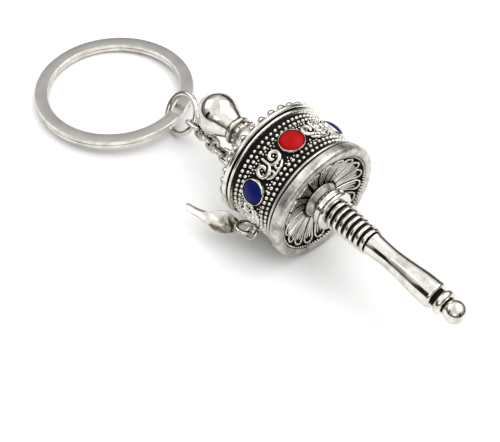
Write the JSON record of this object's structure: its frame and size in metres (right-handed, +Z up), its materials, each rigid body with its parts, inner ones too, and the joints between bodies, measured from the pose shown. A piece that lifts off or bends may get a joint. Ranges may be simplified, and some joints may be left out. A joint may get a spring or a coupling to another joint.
{
  "type": "prayer wheel",
  "caption": "Small hand prayer wheel on a key ring: a drum with round stones spins on a ribbed handle's axle, with a swinging leaf weight, a short chain, a jump ring and a flat split ring.",
  "frame": {"origin": "on the surface it lies on, below the middle of its own bounding box", "axes": "+X along the drum's axle from the finial towards the handle's pommel, +Z up, as it lies on its two drum flanges"},
  "size_m": [0.0981, 0.031, 0.0224],
  "materials": {
    "antique_silver": "silver-plated zinc casting, polished on its high places and darkened in its recesses",
    "oxidised_silver": "blackened ground behind the ornament",
    "steel": "turned",
    "ring_steel": "nickel-plated, satin",
    "bush_brass": "turned",
    "roll_paper": "blank rolled paper",
    "red_enamel": "polished cabochon",
    "blue_enamel": "polished cabochon"
  },
  "bodies": {
    "handle": {"axle": "steel", "handle_collar": "antique_silver", "ribbed_ferrule": "antique_silver", "grip": "antique_silver", "pommel_ring": "antique_silver", "pommel_ball": "antique_silver", "lower_washer": "steel", "upper_washer": "steel", "finial_neck": "antique_silver", "finial_ball": "antique_silver", "chain_lug": "antique_silver"},
    "drum": {"drum_shell": "oxidised_silver", "lotus_plate": "antique_silver", "lotus_petals": "antique_silver", "crown_plate": "antique_silver", "crown_beads": "antique_silver", "lower_bush": "bush_brass", "upper_bush": "bush_brass", "prayer_roll": "roll_paper", "lower_bead_band": "antique_silver", "upper_bead_band": "antique_silver", "scroll_ornaments": "antique_silver", "stone_bezels": "antique_silver", "red_stones": "red_enamel", "blue_stones": "blue_enamel", "weight_lug": "antique_silver"},
    "weight_hoop": {"weight_hoop": "antique_silver"},
    "counterweight": {"counterweight": "antique_silver"},
    "link_1": {"link_1": "antique_silver"},
    "link_2": {"link_2": "antique_silver"},
    "link_3": {"link_3": "antique_silver"},
    "link_4": {"link_4": "antique_silver"},
    "link_5": {"link_5": "antique_silver"},
    "link_6": {"link_6": "antique_silver"},
    "jump_ring": {"jump_ring": "ring_steel"},
    "key_ring": {"split_ring": "ring_steel"}
  },
  "joints": [
    {"name": "drum_spin", "type": "hinge", "parent": "handle", "child": "drum", "pos_m": [0.01031, 0.00435, 0.0112], "axis": [1, 0, 0], "continuous": true},
    {"name": "weight_hoop_swing", "type": "hinge", "parent": "drum", "child": "weight_hoop", "pos_m": [0.01031, -0.00482, 0.00377], "axis": [-0.342, -0.5914, 0.7303], "range_deg": [0, 100]},
    {"name": "counterweight_swing", "type": "hinge", "parent": "weight_hoop", "child": "counterweight", "pos_m": [0.00858, -0.00458, 0.00316], "axis": [-0.0982, 0.7954, 0.5981], "range_deg": [-12, 12]},
    {"name": "link_1_swing", "type": "hinge", "parent": "handle", "child": "link_1", "pos_m": [-0.00304, 0.00139, 0.00681], "axis": [-0.02, -0.8192, 0.5732], "range_deg": [0, 25]},
    {"name": "link_2_swing", "type": "hinge", "parent": "link_1", "child": "link_2", "pos_m": [-0.00549, 0.00139, 0.00672], "axis": [-0.0286, 0.5736, 0.8187], "range_deg": [-25, 25]},
    {"name": "link_3_swing", "type": "hinge", "parent": "link_2", "child": "link_3", "pos_m": [-0.00783, 0.00194, 0.00625], "axis": [0.2947, 0.7874, -0.5414], "range_deg": [-25, 10]},
    {"name": "link_4_swing", "type": "hinge", "parent": "link_3", "child": "link_4", "pos_m": [-0.01016, 0.00242, 0.00568], "axis": [0.0785, -0.5846, -0.8075], "range_deg": [-25, 25]},
    {"name": "link_5_swing", "type": "hinge", "parent": "link_4", "child": "link_5", "pos_m": [-0.01242, 0.00306, 0.00499], "axis": [-0.3766, -0.7674, 0.5189], "range_deg": [-25, 25]},
    {"name": "link_6_swing", "type": "hinge", "parent": "link_5", "child": "link_6", "pos_m": [-0.01469, 0.00371, 0.0043], "axis": [-0.0785, 0.5846, 0.8075], "range_deg": [-25, 25]},
    {"name": "jump_ring_swing", "type": "hinge", "parent": "link_6", "child": "jump_ring", "pos_m": [-0.0171, 0.00388, 0.00394], "axis": [0.1421, 0.8083, -0.5714], "range_deg": [-25, 25]},
    {"name": "key_ring_swing", "type": "hinge", "parent": "jump_ring", "child": "key_ring", "pos_m": [-0.02088, 0.00361, 0.00262], "axis": [-0.3001, 0.9537, -0.0194], "range_deg": [-60, 60]}
  ]
}
